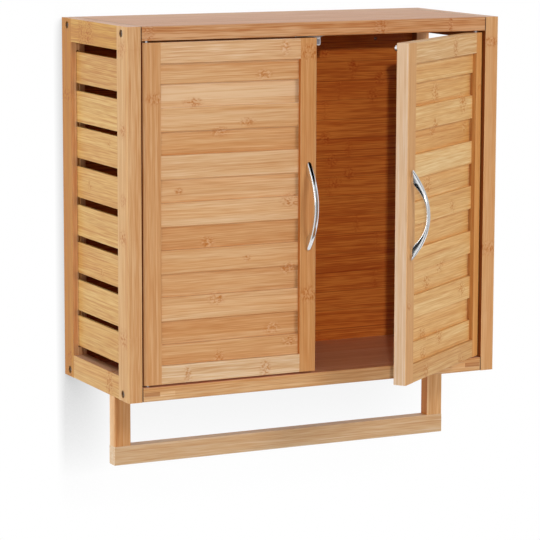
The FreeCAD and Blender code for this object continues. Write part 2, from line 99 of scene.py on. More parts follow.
# Adds shader nodes to a tree. An input is a plain value or the output of another node.
class Graph:
    def __init__(self, tree):
        self.tree = tree

    def feed(self, node, inputs):
        for socket, value in dict(inputs).items():
            if isinstance(value, bpy.types.NodeSocket):
                self.tree.links.new(value, node.inputs[socket])
            else:
                node.inputs[socket].default_value = value

    def put(self, kind, inputs=(), **settings):
        node = self.tree.nodes.new(kind if kind.startswith("Node") else "ShaderNode" + kind)
        for name, value in settings.items():
            setattr(node, name, value)
        self.feed(node, inputs)
        return node

    def math(self, operation, *values, clamp=False):
        return self.put("Math", enumerate(values), operation=operation, use_clamp=clamp).outputs[0]

    def fold(self, operation, values):
        result = values[0]
        for value in values[1:]:
            result = self.math(operation, result, value)
        return result

    def total(self, *values):
        return self.fold("ADD", values)

    def product(self, *values):
        return self.fold("MULTIPLY", values)

    def most(self, *values):
        return self.fold("MAXIMUM", values)

    # A slope times the value, and a start
    def slope(self, value, slope, start, clamp=False):
        return self.math("MULTIPLY_ADD", value, slope, start, clamp=clamp)

    def vector(self, x, y, z):
        return self.put("CombineXYZ", {0: x, 1: y, 2: z}).outputs[0]

    def parts(self, vector):
        return self.put("SeparateXYZ", {0: vector}).outputs

    def noise(self, vector, stretch, detail):
        stretched = self.put("VectorMath", {0: vector, 1: stretch}, operation="MULTIPLY").outputs[0]
        return self.put("TexNoise", {"Vector": stretched, "Scale": 1.0, "Detail": detail}).outputs["Fac"]

    # Noise about zero, as strong as asked
    def ripple(self, vector, stretch, strength, detail=2.0):
        return self.slope(self.noise(vector, stretch, detail), strength, -strength / 2)

    # 1 at zero, falling off over reach on both sides
    def bell(self, distance, reach):
        share = self.math("DIVIDE", distance, reach)
        return self.math("EXPONENT", self.product(share, share, -1.0))

    # 1 on a line, falling to 0 at half its width on both sides
    def line(self, distance, half_width):
        share = self.math("DIVIDE", self.math("ABSOLUTE", distance), half_width)
        return self.math("SUBTRACT", 1.0, share, clamp=True)

    # One colour turned into another, or multiplied by it, as far as a factor from 0 to 1 says
    def mix(self, factor, first, second, blend="MIX"):
        inputs = {0: factor, 6: first, 7: second}
        return self.put("Mix", inputs, data_type="RGBA", blend_type=blend, clamp_factor=True).outputs[2]


# Noises in the bamboo: how often each changes along, across and through the strips in a metre, how
# strong it is and how much detail it has. The last four push places about, by metres.
NOISES = {
    "bands": ((2.5, 55, 55), 0.5, 2.0),
    "streaks": ((4.5, 230, 230), 0.45, 2.0),
    "fibres": ((8, 520, 520), 1.3, 1.0),
    "flecks": ((34, 850, 850), 0.8, 0.0),
    "blush": ((3, 80, 80), 1.2, 2.0),
    "sway": ((6, 22, 22), 0.004, 2.0),
    "swirl": ((110, 210, 210), 0.008, 2.0),
    "knot_bow": ((20, 160, 160), 0.006, 2.0),
    "crest_wobble": ((190, 190, 190), 0.0035, 2.0),
}
# How often dark fibres and the specks of a knot come along, across and through the strips in a metre
DARK_FIBRES, KNOT_SPECKS = (6, 400, 400), (230, 420, 420)
# What the seed moves the joints of strips and plies by, as shares of their width
STRIP_OFFSET, PLY_OFFSET = 7.31, 3.17
# How far the dice move a strip's fibres along and through it, in metres, its stray knots, in periods,
# its warmth, and the slant of its fibres
FIBRE_SHIFT, PLY_SHIFT, KNOT_SHIFT, WARMTH_SWING, LEAN = 5.0, 2.0, 9.0, 0.4, 0.03
KNOT_PERIOD, CREST_REACH, HALO_REACH = 270 * MM, 1.1 * MM, 5.5 * MM
JOINT_HALF_WIDTH = 0.6 * MM
# Colours that the wood is multiplied by
BLUSH_TINT, DARK_FIBRE_TINT = colour(255, 240, 216), colour(238, 214, 182)
KNOT_TINT, JOINT_TINT = colour(227, 185, 130), colour(170, 130, 100)
# How strong dark fibres are, and the specks and the crest of a knot over its even shade
DARK_FIBRE_SHARE, KNOT_SHARE, KNOT_SHADE = 0.55, 0.75, 0.22
# The finish, and what streaks and knots add to it. Streaks stand up a little, and joints are sunk.
ROUGHNESS, STREAK_ROUGHNESS, KNOT_ROUGHNESS = 0.46, 0.25, 0.08
STREAK_HEIGHT, JOINT_HEIGHT = 0.6, -0.8
# What the pattern is given. Grain is the place along, across and through the strips.
PATTERN_INPUTS = {
    "Grain": "Vector", "Strip": "Float", "Ply": "Float", "Seed": "Float", "Tone": "Float",
    "Warmth": "Float", "Contrast": "Float", "Strips": "Float", "Joint": "Float", "Knots": "Float",
    "Crests": "Float", "Stray": "Float", "Light": "Color", "Middle": "Color", "Dark": "Color",
}
PATTERN_OUTPUTS = {"Color": "Color", "Roughness": "Float", "Height": "Float"}


# The bamboo pattern: glued strips with fibre streaks, and the knots where a cane had its joints
def bamboo_group():
    tree = bpy.data.node_groups.new("bamboo_pattern", "ShaderNodeTree")
    for way, sockets in (("INPUT", PATTERN_INPUTS), ("OUTPUT", PATTERN_OUTPUTS)):
        for name, kind in sockets.items():
            tree.interface.new_socket(name, in_out=way, socket_type="NodeSocket" + kind)
    g = Graph(tree)
    given = g.put("NodeGroupInput").outputs
    along, across, through = g.parts(given["Grain"])
    strip_place = g.slope(given["Seed"], STRIP_OFFSET, g.math("DIVIDE", across, given["Strip"]))
    ply_place = g.slope(given["Seed"], PLY_OFFSET, g.math("DIVIDE", through, given["Ply"]))

    # Dice that fall differently for each strip of each ply
    dice_place = g.vector(g.math("FLOOR", strip_place), g.math("FLOOR", ply_place), given["Seed"])
    dice = g.put("TexWhiteNoise", {"Vector": dice_place}, noise_dimensions="3D").outputs["Color"]
    strip_tone, strip_shift, strip_hue = g.put("SeparateColor", {0: dice}).outputs
    knots, crests = all_knots(g, given, along, strip_shift)

    # Fibres sway along a strip, lean a little from its edges and swirl round a knot
    lean = g.product(g.math("SUBTRACT", strip_hue, 0.5), along, LEAN)
    swirl = g.product(g.ripple(given["Grain"], *NOISES["swirl"]), knots)
    sway = g.total(g.ripple(given["Grain"], *NOISES["sway"]), lean, swirl)
    place = g.vector(
        g.slope(strip_shift, FIBRE_SHIFT, along),
        g.math("ADD", across, sway),
        g.slope(strip_hue, PLY_SHIFT, through),
    )
    bands, streaks, fibres, flecks = (
        g.ripple(place, *NOISES[name]) for name in ("bands", "streaks", "fibres", "flecks")
    )
    figure = g.product(g.total(bands, streaks, fibres, flecks), given["Contrast"])
    strips = g.product(g.math("SUBTRACT", strip_tone, 0.5), given["Strips"])
    wood = toned(g, given, g.total(given["Tone"], figure, strips))

    # Warmer drifts, and thin dark fibres here and there
    strip_warmth = g.slope(strip_hue, WARMTH_SWING, -WARMTH_SWING / 2)
    blush = g.total(given["Warmth"], strip_warmth, g.ripple(place, *NOISES["blush"]))
    wood = g.mix(blush, wood, BLUSH_TINT, "MULTIPLY")
    dark_fibres = g.slope(g.noise(place, DARK_FIBRES, 0.0), 9.0, -6.0, clamp=True)
    fibre_share = g.product(dark_fibres, given["Contrast"], DARK_FIBRE_SHARE)
    wood = g.mix(fibre_share, wood, DARK_FIBRE_TINT, "MULTIPLY")

    # A knot is a crosshatch of dark and pale specks about a thin crest
    specks = g.noise(place, KNOT_SPECKS, 1.0)
    dark_specks = g.slope(specks, 7.0, -3.5, clamp=True)
    pale_specks = g.slope(specks, -7.0, 3.4, clamp=True)
    wood = g.mix(g.product(knots, pale_specks, KNOT_SHARE), wood, given["Light"])
    speckled = g.product(knots, g.slope(dark_specks, KNOT_SHARE, KNOT_SHADE))
    marked = g.most(speckled, g.product(crests, KNOT_SHARE))
    wood = g.mix(marked, wood, g.mix(1.0, given["Middle"], KNOT_TINT, "MULTIPLY"))

    strip_joint = joint_line(g, strip_place, given["Strip"])
    ply_joint = joint_line(g, ply_place, given["Ply"])
    joint = g.product(g.most(strip_joint, ply_joint), given["Joint"])
    wood = g.mix(joint, wood, g.mix(1.0, wood, JOINT_TINT, "MULTIPLY"))

    roughness = g.total(ROUGHNESS, g.product(streaks, STREAK_ROUGHNESS), g.product(marked, KNOT_ROUGHNESS))
    height = g.total(g.product(streaks, STREAK_HEIGHT), fibres, g.product(joint, JOINT_HEIGHT))
    g.put("NodeGroupOutput", {"Color": wood, "Roughness": roughness, "Height": height})
    return tree


# The knots that the pattern is given, and the stray ones that each strip has at its own places
def all_knots(g, given, along, strip_shift):
    cycles = g.total(g.math("DIVIDE", along, KNOT_PERIOD), g.product(strip_shift, KNOT_SHIFT))
    bow = g.ripple(given["Grain"], *NOISES["knot_bow"])
    from_knot = g.math("ADD", g.slope(g.math("FRACT", cycles), KNOT_PERIOD, -KNOT_PERIOD / 2), bow)
    knots = g.most(given["Knots"], g.product(g.bell(from_knot, HALO_REACH), given["Stray"]))
    crests = g.most(given["Crests"], g.product(g.bell(from_knot, CREST_REACH), given["Stray"]))
    return knots, crests


# The lower half of the tones runs from dark to middle, and the upper half from middle to light
def toned(g, given, tone):
    low = g.math("MULTIPLY", tone, 2.0, clamp=True)
    high = g.slope(tone, 2.0, -1.0, clamp=True)
    return g.mix(high, g.mix(low, given["Dark"], given["Middle"]), given["Light"])


def joint_line(g, place, size):
    share = g.math("FRACT", place)
    nearest = g.product(g.math("MINIMUM", share, g.math("SUBTRACT", 1.0, share)), size)
    return g.line(nearest, JOINT_HALF_WIDTH)


BAMBOO = bamboo_group()
# The palest and the darkest wood of a base colour, as shares of its red, green and blue
LIGHT_SHARES, DARK_SHARES = (1.07, 1.16, 1.31), (0.92, 0.83, 0.72)
MIDDLE_TONE, WARMTH = 0.5, 0.25
# Screw holes in the side frames, painted darker inside as painted shade, and the joints between the panels
# and the side frames
BORE_RADIUS, BORE_SHADE_COLOUR = 5.2 * MM, colour(128, 92, 62)
SEAM_HALF_WIDTH, SEAM_COLOUR = 1.8 * MM, colour(70, 36, 16)
# How much longer a placed knot's halo is than the knot, and how far a board's pattern is from the next's
HALO_STRETCH, BOARD_SHIFT = 1.2, 0.37
BUMP_DEPTH = 0.2 * MM


def plain_material(name):
    material = bpy.data.materials.new(name)
    material.use_nodes = True
    shader = material.node_tree.nodes["Principled BSDF"]
    return material, Graph(material.node_tree), shader


# A material whose surface is the bamboo pattern about a base colour, written as the eye sees it.
# Axes name the object's axes along, across and through the strips. The edges are painted paler where they
# round over, a painted highlight, as far as its argument says.
# Knots are (along, across, length, width, crest) in metres but for the crest, which says how strong its
# line is. Rows are what board_inputs() takes, and tints what facing() gives. Blocks are (from the middle,
# half its width, height, half of it, base) of short lengths in a panel's edge. Bores are the y and z of
# screw holes, which are painted darker inside as painted shade. Seams are the x of dark joints on both
# sides of the middle.
def bamboo(name, axes, seed, base, tone=MIDDLE_TONE, strip=20 * MM, ply=20 * MM, contrast=1.0, strips=0.3,
           joint=0.2, stray=0.0, coat=0.12, painted_edge_highlight=0.35, turned=False, knots=(), rows=None, tints=(),
           blocks=(), bores=(), seams=()):
    material, g, shader = plain_material(name)
    place, normal = surface(g, turned)
    xyz = dict(zip("xyz", g.parts(place)))
    halos, crests = knot_masks(g, xyz[axes[0]], xyz[axes[1]], place, knots)
    light, dark = (colour(*scaled(base, shares)) for shares in (LIGHT_SHARES, DARK_SHARES))
    inputs = {
        "Grain": g.vector(*(xyz[axis] for axis in axes)), "Strip": strip, "Ply": ply, "Seed": seed,
        "Tone": tone, "Warmth": WARMTH, "Contrast": contrast, "Strips": strips, "Joint": joint,
        "Knots": halos, "Crests": crests, "Stray": stray,
        "Light": light, "Middle": colour(*base), "Dark": dark,
    }
    if rows:
        inputs.update(board_inputs(g, xyz, *rows))
    group = g.put("Group", inputs, node_tree=BAMBOO)
    wood = group.outputs["Color"]
    for direction, other_base, start, full in tints:
        wood = rebased(g, look_share(g, normal, direction, start, full), wood, base, other_base)
    for *block, other_base in blocks:
        wood = rebased(g, block_share(g, xyz, *block), wood, base, other_base)
    # The screw holes are painted darker inside, painted shade in the bores
    for y, z in bores:
        wood = g.mix(bore_shade_share(g, xyz, y, z), wood, BORE_SHADE_COLOUR)
    for seam in seams:
        wood = g.mix(seam_share(g, xyz["x"], seam), wood, SEAM_COLOUR)
    # Rounded edges turn towards the pale wood colour: a painted highlight
    wood = g.mix(g.product(painted_highlight_share(g, normal), painted_edge_highlight), wood, light)
    bump = g.put("Bump", {"Height": group.outputs["Height"], "Strength": 0.25, "Distance": BUMP_DEPTH})
    g.feed(shader, {
        "Base Color": wood, "Roughness": group.outputs["Roughness"], "Normal": bump.outputs["Normal"],
        "Coat Weight": coat, "Coat Roughness": 0.28, "Specular IOR Level": 0.25,
    })
    return material


# Where a point of an object lies and which way its surface looks there, with the open door turned shut
def surface(g, turned=False):
    coordinates = g.put("TexCoord").outputs
    place, normal = coordinates["Object"], coordinates["Normal"]
    if turned:
        place = turned_shut(g, place, OPEN_PIVOT)
        normal = turned_shut(g, normal, (0, 0, 0))
    return place, normal


def turned_shut(g, vector, centre):
    inputs = {"Vector": vector, "Center": centre, "Angle": -OPEN_TURN}
    return g.put("VectorRotate", inputs, rotation_type="Z_AXIS").outputs[0]


# Where the knots are: their halos, and the thin uneven crest across each
def knot_masks(g, along, across, place, knots):
    halos, crests = 0.0, 0.0
    wobble = g.ripple(place, *NOISES["crest_wobble"])
    for knot_along, knot_across, length, width, crest in knots:
        reach = g.bell(g.math("SUBTRACT", across, knot_across), width)
        away = g.math("SUBTRACT", along, knot_along)
        halo = g.product(g.bell(away, HALO_STRETCH * length), reach)
        halos = g.most(halos, g.slope(halo, 1.7, -0.15, clamp=True))
        ridge = g.bell(g.math("ADD", away, wobble), CREST_REACH)
        crests = g.most(crests, g.product(ridge, reach, crest))
    return halos, crests


# What differs from board to board: each row is tone and warmth, from the top board down. A ramp with
# steps looks the row up by height, and each board's pattern is moved along and through.
def board_inputs(g, xyz, rows, low, high):
    share = g.math("DIVIDE", g.math("SUBTRACT", high, xyz["z"]), high - low)
    ramp = g.put("ValToRGB", {0: share})
    ramp.color_ramp.interpolation = "CONSTANT"
    stops = ramp.color_ramp.elements
    stops.remove(stops[1])
    for number, (tone, warmth) in enumerate(rows):
        stop = stops[0] if number == 0 else stops.new(number / len(rows))
        stop.color = (tone, warmth, 0, 1)
    tone, warmth, _ = g.put("SeparateColor", {0: ramp.outputs["Color"]}).outputs
    shift = g.product(g.math("FLOOR", g.product(share, len(rows))), BOARD_SHIFT)
    grain = g.vector(g.math("ADD", xyz["x"], shift), xyz["z"], g.math("ADD", xyz["y"], shift))
    return {"Tone": tone, "Warmth": warmth, "Grain": grain}


# The wood in another base colour, as far as the share says
def rebased(g, share, wood, base, other_base):
    factors = [new / old for new, old in zip(colour(*other_base), colour(*base))]
    return g.mix(share, wood, factors, "MULTIPLY")


# These say from 0 to 1 how far a place looks in a direction, lies in a block, in a bore or on a seam,
# or is on a rounded edge where a highlight is painted, where the surface looks between two axes
def look_share(g, normal, direction, start, full):
    toward = g.put("VectorMath", {0: normal, 1: direction}, operation="DOT_PRODUCT").outputs["Value"]
    return g.slope(toward, 1 / (full - start), start / (start - full), clamp=True)


def block_share(g, xyz, from_middle, half_long, height, half_tall):
    in_length = g.math("COMPARE", g.math("ABSOLUTE", xyz["x"]), from_middle, half_long)
    return g.product(in_length, g.math("COMPARE", xyz["z"], height, half_tall))


def bore_shade_share(g, xyz, y, z):
    flat_place = {0: g.vector(0.0, xyz["y"], xyz["z"]), 1: (0, y, z)}
    from_bore = g.put("VectorMath", flat_place, operation="DISTANCE").outputs["Value"]
    return g.math("LESS_THAN", from_bore, BORE_RADIUS)


def seam_share(g, x, seam):
    from_seam = g.math("SUBTRACT", g.math("ABSOLUTE", x), seam)
    return g.math("MULTIPLY", g.line(from_seam, SEAM_HALF_WIDTH), 1.8, clamp=True)


def painted_highlight_share(g, normal):
    straight = g.most(*(g.math("ABSOLUTE", part) for part in g.parts(normal)))
    return g.slope(straight, -8.0, 7.8, clamp=True)


# How often clouds and grains change in a metre, on metal and on plastic
METAL_CLOUDS, PLASTIC_CLOUDS, PLASTIC_GRAINS = (300,) * 3, (240,) * 3, (2600,) * 3
PLASTIC_SHADE, GRAIN_DEPTH = colour(214, 219, 226), 0.1 * MM


def metal(name, base, roughness, spread):
    material, g, shader = plain_material(name)
    place, _ = surface(g)
    cloud = g.ripple(place, METAL_CLOUDS, 1.0)
    tint = g.slope(cloud, 0.12, 0.97)
    g.feed(shader, {
        "Base Color": g.mix(1.0, colour(*base), tint, "MULTIPLY"),
        "Roughness": g.slope(cloud, spread, roughness),
        "Metallic": 1.0,
    })
    return material


def plastic(name, base, roughness):
    material, g, shader = plain_material(name)
    place, _ = surface(g)
    cloud = g.ripple(place, PLASTIC_CLOUDS, 1.0)
    grains = g.noise(place, PLASTIC_GRAINS, 1.0)
    bump = g.put("Bump", {"Height": grains, "Strength": 0.15, "Distance": GRAIN_DEPTH})
    g.feed(shader, {
        "Base Color": g.mix(g.slope(cloud, 0.5, 0.3), colour(*base), PLASTIC_SHADE),
        "Roughness": g.slope(cloud, 0.1, roughness),
        "Normal": bump.outputs["Normal"],
    })
    return material


def dress(node, material):
    slots = NODES[node].data.materials
    slots.clear()
    slots.append(material)


# Seeds of the patterns. The members of a side frame or of a door add a step each to its seed.
SEEDS = {
    "left_side": 1.9, "right_side": 21.3, "top_panel": 41.3, "bottom_panel": 57.9, "hanging_rail": 63.1,
    "back_panel": 71.7, "towel_post_left": 282.3, "towel_post_right": 291.3, "towel_bar": 91.9,
    "dowel_wood": 101.1, "left_door": 111.7, "right_door": 131.3,
}


def dress_wood(node, axes, base, **looks):
    dress(node, bamboo(node, axes, SEEDS[node], base, **looks))


# A place inside a node's box at rest, from a share of the box
def spot(node, axis, share):
    low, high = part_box(node)
    number = "xyz".index(axis)
    return low[number] + share * (high[number] - low[number])


# Knots given as shares along and across a node, with their length and width in millimetres
def knots_on(node, axes, rows):
    return [
        (spot(node, axes[0], along), spot(node, axes[1], across), length * MM, width * MM, crest)
        for along, across, length, width, crest in rows
    ]


# Knots whose place, length and width are given in millimetres
def knots_at(rows):
    return [(*(size * MM for size in sizes), crest) for *sizes, crest in rows]


# Faces of the side frames painted in another colour than the member's base. The tops are painted lighter, a
# painted sheen, and the front stiles' front faces darker, painted shade. The back stiles' faces that the
# slats leave open to the front are painted lighter, painted light, and the right frame's inner faces, which
# the open door shows, darker, painted shade.
PAINTED_SHEEN_TOP = facing(UPWARD, (221, 173, 137))
PAINTED_SHADE_FRONT = facing(FORWARD, (202, 150, 98))
PAINTED_LIGHT_REVEAL = facing(FORWARD, (238, 185, 134))
PAINTED_SHADE_INNER = facing(LEFTWARD, (152, 94, 47))
PAINTED_SHADE_JAMB = facing(LEFTWARD, (142, 80, 34))
# Looks of each member of a side frame: the axes of its grain, its base colour, its strips and its painted
# faces
STILE_STRIPS = dict(strip=6.8 * MM, ply=5 * MM, joint=0.1, strips=0.16, contrast=0.9)
RAIL_STRIPS = dict(strip=32 * MM, contrast=1.3, tints=[PAINTED_SHEEN_TOP])
SLAT_STRIPS = dict(strip=21.5 * MM, joint=0.0, contrast=1.2)
SIDE_MEMBERS = {
    "front_stile": ("zyx", (208, 160, 103), dict(STILE_STRIPS, tints=[PAINTED_SHEEN_TOP, PAINTED_SHADE_FRONT])),
    "back_stile": ("zyx", (185, 123, 32), dict(STILE_STRIPS, tints=[PAINTED_SHEEN_TOP, PAINTED_LIGHT_REVEAL])),
    "top_rail": ("yzx", (195, 141, 62), RAIL_STRIPS),
    "bottom_rail": ("yzx", (205, 157, 91), dict(RAIL_STRIPS, contrast=1.0)),
    **{"slat_" + str(number): ("yzx", (206, 160, 92), SLAT_STRIPS) for number in range(1, 9)},
}
# Knots on the members of both side frames, and on one frame's member where the name says its side: shares
# along and across the member, length and width in millimetres, and crest
SIDE_KNOTS = {
    "front_stile": [
        (0.94, 0.5, 9, 12, 0.8), (0.725, 0.45, 8, 9, 1.0), (0.54, 0.45, 7, 9, 0.6), (0.44, 0.5, 8, 11, 0.6),
        (0.17, 0.48, 10, 12, 0.8),
    ],
    "back_stile": [(0.79, 0.5, 8, 15, 0.9), (0.06, 0.4, 6, 10, 0.3)],
    "top_rail": [(0.61, 0.5, 12, 26, 0.7), (0.77, 0.5, 8, 24, 0.3)],
    "bottom_rail": [(0.2, 0.5, 9, 24, 0.8)],
    "slat_3": [(0.3, 0.7, 4, 5, 0.3)],
    "slat_4": [(0.7, 0.5, 5, 6, 0.3)],
    "slat_6": [(0.45, 0.3, 4, 5, 0.3)],
    "slat_8": [(0.12, 0.5, 7, 14, 0.0)],
    "right_front_stile": [(0.35, 0.0, 7, 8, 0.3), (0.93, 0.0, 5, 7, 0.3)],
}
# The screws through the side frames, sunk in bores: how far they are in from the front and the back
BORE_INSET = 20 * MM
SIDE_SEED_STEP, TONE_SWING, TONE_STEP = 1.37, 0.12, 2.4
# The right frame's grain is fainter than the left one's
RIGHT_CONTRAST_SHARE = 0.6


def dress_side(side):
    seed = SEEDS[side + "_side"]
    screw_heights = [spot(panel, "z", 0.5) for panel in ("top_panel", "bottom_panel")]
    screw_depths = {"front_stile": CAD_FRONT + BORE_INSET, "back_stile": -BORE_INSET}
    for number, (part, (axes, base, looks)) in enumerate(SIDE_MEMBERS.items()):
        node = side + "_" + part
        knots = knots_on(node, axes, SIDE_KNOTS.get(part, []) + SIDE_KNOTS.get(node, []))
        looks = dict(looks, tints=list(looks.get("tints", ())))
        # The right frame's inner faces and the jamb beside the door are painted darker, painted shade
        if side == "right":
            looks["tints"].append(PAINTED_SHADE_JAMB if part == "front_stile" else PAINTED_SHADE_INNER)
            looks["contrast"] *= RIGHT_CONTRAST_SHARE
        if part in screw_depths:
            looks["bores"] = [(screw_depths[part], height) for height in screw_heights]
        tone = MIDDLE_TONE + TONE_SWING * math.sin(TONE_STEP * number + seed)
        material = bamboo(node, axes, seed + number * SIDE_SEED_STEP, base, tone=tone, knots=knots, **looks)
        dress(node, material)


# Knots on the front edge of the top panel, as x, length and width in millimetres, and crest
TOP_EDGE_KNOTS = ((-249, 6, 12, 0.0), (95, 7, 6, 0.3), (204, 2.5, 4, 0.5))
# Short lengths in the front edge of the bottom panel: from the middle, half their width, and the base
EDGE_BLOCKS = ((246.5 * MM, 11.5 * MM, (180, 127, 80)), (224 * MM, 11 * MM, (214, 170, 120)))
EDGE_BLOCK_HALF_TALL = 3.1 * MM
# The back panel's knots that show through the open door, as x and z in millimetres
BACK_KNOTS = (
    (163, -39), (208, -58), (196, -82), (118, -142), (118, -16), (130, -176), (158, -195), (137, -207),
)


def dress_panels():
    layers = dict(strip=24 * MM, ply=6.3 * MM, joint=0.25, seams=[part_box("top_panel")[1].x])
    knots = [(x * MM, CAD_FRONT, long * MM, wide * MM, crest) for x, long, wide, crest in TOP_EDGE_KNOTS]
    # The top face is painted lighter than the front edge, a painted sheen
    tints = [facing(UPWARD, (210, 150, 101))]
    dress_wood("top_panel", "xyz", (193, 139, 91), tints=tints, knots=knots, contrast=1.7, **layers)

    middle = (spot("bottom_panel", "z", 0.5), EDGE_BLOCK_HALF_TALL)
    blocks = [(from_middle, half_long, *middle, base) for from_middle, half_long, base in EDGE_BLOCKS]
    # The bottom panel's inside face is painted lighter, painted light on the cabinet's floor
    tints = [facing(UPWARD, (232, 172, 134))]
    dress_wood("bottom_panel", "xyz", (203, 155, 104), tints=tints, blocks=blocks, **layers)

    dress_wood("hanging_rail", "xzy", (204, 157, 107), strip=22.5 * MM, stray=0.8)
    # The back panel's inside face is painted a deep orange, painted shade and warm bounced light inside the
    # cabinet; its face towards the wall keeps the bamboo's colour
    looks = dict(strip=28 * MM, joint=0.8, stray=0.5, coat=0.0, contrast=2.2, painted_edge_highlight=0)
    looks["knots"] = knots_at([(x, z, 7, 9, 0.8) for x, z in BACK_KNOTS])
    looks["tints"] = [facing(REARWARD, (205, 158, 108))]
    dress_wood("back_panel", "xzy", (196, 107, 38), **looks)


# The towel posts: their base colour and the colour painted on their faces that look left, painted light on
# the left post and painted shade on the right one
POST_BASES_AND_PAINTED_SIDES = {"left": ((199, 148, 97), (224, 184, 138)), "right": ((208, 162, 112), (174, 104, 36))}


def dress_towel_rail():
    for side, (base, painted_side_base) in POST_BASES_AND_PAINTED_SIDES.items():
        looks = dict(strip=8 * MM, ply=6.5 * MM, strips=0.6, coat=0, tints=[facing(LEFTWARD, painted_side_base)])
        dress_wood("towel_post_" + side, "zxy", base, **looks)
    looks = dict(strip=8.8 * MM, ply=6.5 * MM, strips=0.1, contrast=0.8)
    looks["tints"] = [facing(LEFTWARD, (218, 190, 155))]
    dress_wood("towel_bar", "xzy", (209, 176, 136), **looks)


# The strips of the doors' stiles and rails, and what each member adds to its door's seed
DOOR_STILE = dict(strip=4.5 * MM, ply=6 * MM, joint=0.08, strips=0.14, contrast=0.75)
DOOR_RAIL = dict(strip=27.5 * MM, joint=0.0)
DOOR_SEED_STEPS = {
    "hinge_stile": 0.0, "free_stile": 2.2, "top_rail": 3.1, "bottom_rail": 4.7,
    "raised_boards": 5.9, "sunk_boards": 5.9,
}
# The stiles of each door: base colour, the colour painted on faces that look left, knots as z, x, length
# and width in millimetres and crest, and what else differs. Faces that look left are painted shade: dark on
# the left door's hinge edge in its narrow gap, darker on the inner faces beside the boards. The right
# door's free edge is painted paler instead, painted light.
DOOR_STILES = {
    "left": {
        "hinge_stile": (
            (199, 148, 98), facing(LEFTWARD, (94, 32, 2), 0.78, 0.88), [(-54, -240.5, 6, 12, 0.0)],
            dict(painted_edge_highlight=0),
        ),
        "free_stile": (
            (200, 145, 90), facing(LEFTWARD, (196, 118, 50)),
            [(-329, -13, 9, 13, 0.1), (1, -13, 9, 13, 0.1)], {},
        ),
    },
    "right": {
        "hinge_stile": (
            (218, 153, 84), facing(LEFTWARD, (178, 120, 62)), [(-54, 249.5, 6, 12, 0.0)], dict(painted_edge_highlight=0),
        ),
        "free_stile": (
            (214, 162, 106), facing(LEFTWARD, (207, 178, 148)), [(-329, 12, 5, 6, 0.3)],
            dict(strips=0.1, contrast=0.5),
        ),
    },
}
# The rails of each door: base colour, and knots as x, z, length and width in millimetres and crest
DOOR_RAILS = {
    "left": {
        "top_rail": ((213, 171, 127), [(-50, 8, 5, 9, 0.4)]),
        "bottom_rail": ((206, 167, 124), [(-194, -428, 4, 14, 0.4), (-79, -428, 6, 12, 0.2)]),
    },
    "right": {
        "top_rail": ((218, 172, 116), [(159, 8, 6, 20, 0.8)]),
        "bottom_rail": ((214, 166, 106), [(70, -427, 6, 10, 0.4), (190, -431, 7, 8, 1.0)]),
    },
}
# The boards of each door: base colour, contrast, and how much of their knots' crests shows
DOOR_BOARDS = {"left": ((206, 159, 110), 0.75, 0.6), "right": ((222, 175, 112), 0.9, 0.9)}
# How far the outer boards reach into the rails, and how much longer knots are on boards than in the table
BOARD_TONGUE, BOARD_KNOT_STRETCH = 4 * MM, 1.5
# Rows of the doors' boards, from the top down: tone and warmth
BOARD_ROWS = {
    "left": [
        (0.60, 0.3), (0.85, 0.1), (0.60, 0.2), (0.45, 0.5), (0.71, 0.1), (0.56, 0.3), (0.60, 0.2),
        (0.38, 0.4), (0.45, 0.3), (0.40, 0.3), (0.55, 0.2), (0.36, 0.4), (0.47, 0.2),
    ],
    "right": [
        (0.58, 0.3), (0.50, 0.5), (0.60, 0.3), (0.42, 0.5), (0.62, 0.2), (0.50, 0.4), (0.58, 0.2),
        (0.44, 0.5), (0.58, 0.3), (0.50, 0.4), (0.56, 0.2), (0.40, 0.5), (0.50, 0.3),
    ],
}
# Knots on the doors' fields of boards, as x from the left end and depth from the top in millimetres,
# their length and width, and how strong the crest is
BOARD_KNOTS = {
    "left": [
        (154, 24, 6, 6, 0.3), (51, 58, 7, 6, 0.3), (129, 86, 6, 5, 0.2), (90, 98, 6, 6, 0.4),
        (71, 246, 5, 7, 0.5), (192, 289, 6, 7, 0.3), (83, 323, 6, 7, 0.3), (168, 370, 6, 7, 0.3),
        (193, 389, 6, 6, 0.2), (87, 406, 4, 12, 0.8), (30, 175, 3, 4, 0.0), (128, 271, 3, 4, 0.0),
        (197, 196, 9, 8, 0.2),
    ],
    "right": [
        (86, 50, 6, 12, 0.8), (174, 71, 7, 12, 0.2), (78, 96, 5, 12, 0.7), (189, 105, 4, 7, 0.6),
        (63, 173, 7, 12, 0.2), (108, 290, 6, 8, 0.4), (64, 306, 6, 9, 0.4), (176, 331, 6, 10, 0.4),
        (100, 387, 6, 9, 0.4), (52, 375, 6, 8, 0.3), (46, 400, 5, 9, 0.4), (140, 210, 5, 8, 0.3),
    ],
}
# Faces of boards and rails that look down are painted warmer than their fronts, a painted warm shade
WARM_SHADE_SHARES = (1.1, 0.98, 0.72)


def painted_warm_shade(base):
    return facing(DOWNWARD, scaled(base, WARM_SHADE_SHARES), 0.15, 0.7)


